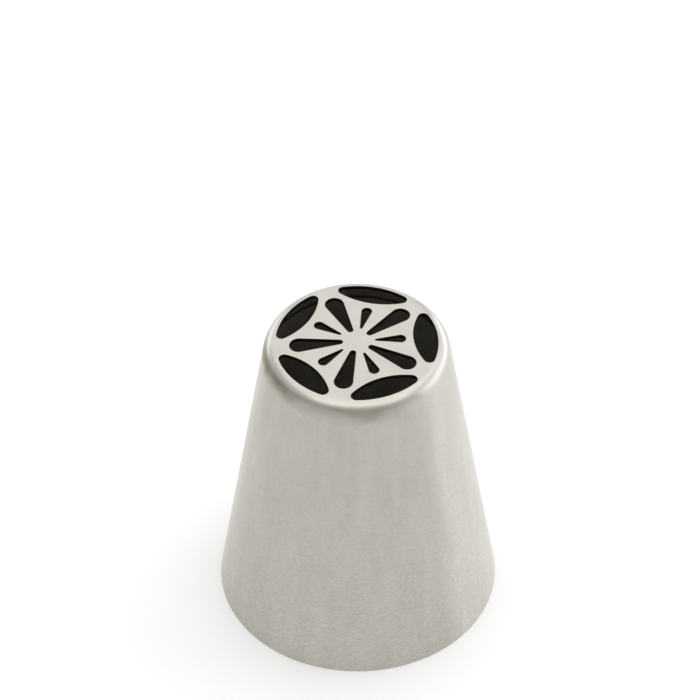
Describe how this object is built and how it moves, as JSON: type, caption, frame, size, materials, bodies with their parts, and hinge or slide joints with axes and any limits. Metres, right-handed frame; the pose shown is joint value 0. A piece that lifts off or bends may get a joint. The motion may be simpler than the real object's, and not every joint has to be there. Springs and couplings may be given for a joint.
{
  "type": "piping nozzle",
  "caption": "Tapered stainless steel piping tip, open at the wide base, with a crowned end face cut through with lens and teardrop slots that pipe a whole flower at once.",
  "frame": {"origin": "centre of the base rim, on the surface that the nozzle stands on", "axes": "+Z along the nozzle's axis, from the wide open base to the slotted end face; +X through the middle of one rim slot"},
  "size_m": [0.0344, 0.0344, 0.04],
  "materials": {
    "shell_steel": "fine brushing round the taper",
    "weld_steel": "ground flush and polished outside",
    "face_steel": "satin face with a polished shoulder"
  },
  "bodies": {
    "root": {"cone_shell": "shell_steel", "shoulder_weld": "weld_steel", "flower_plate": "face_steel"}
  },
  "joints": []
}
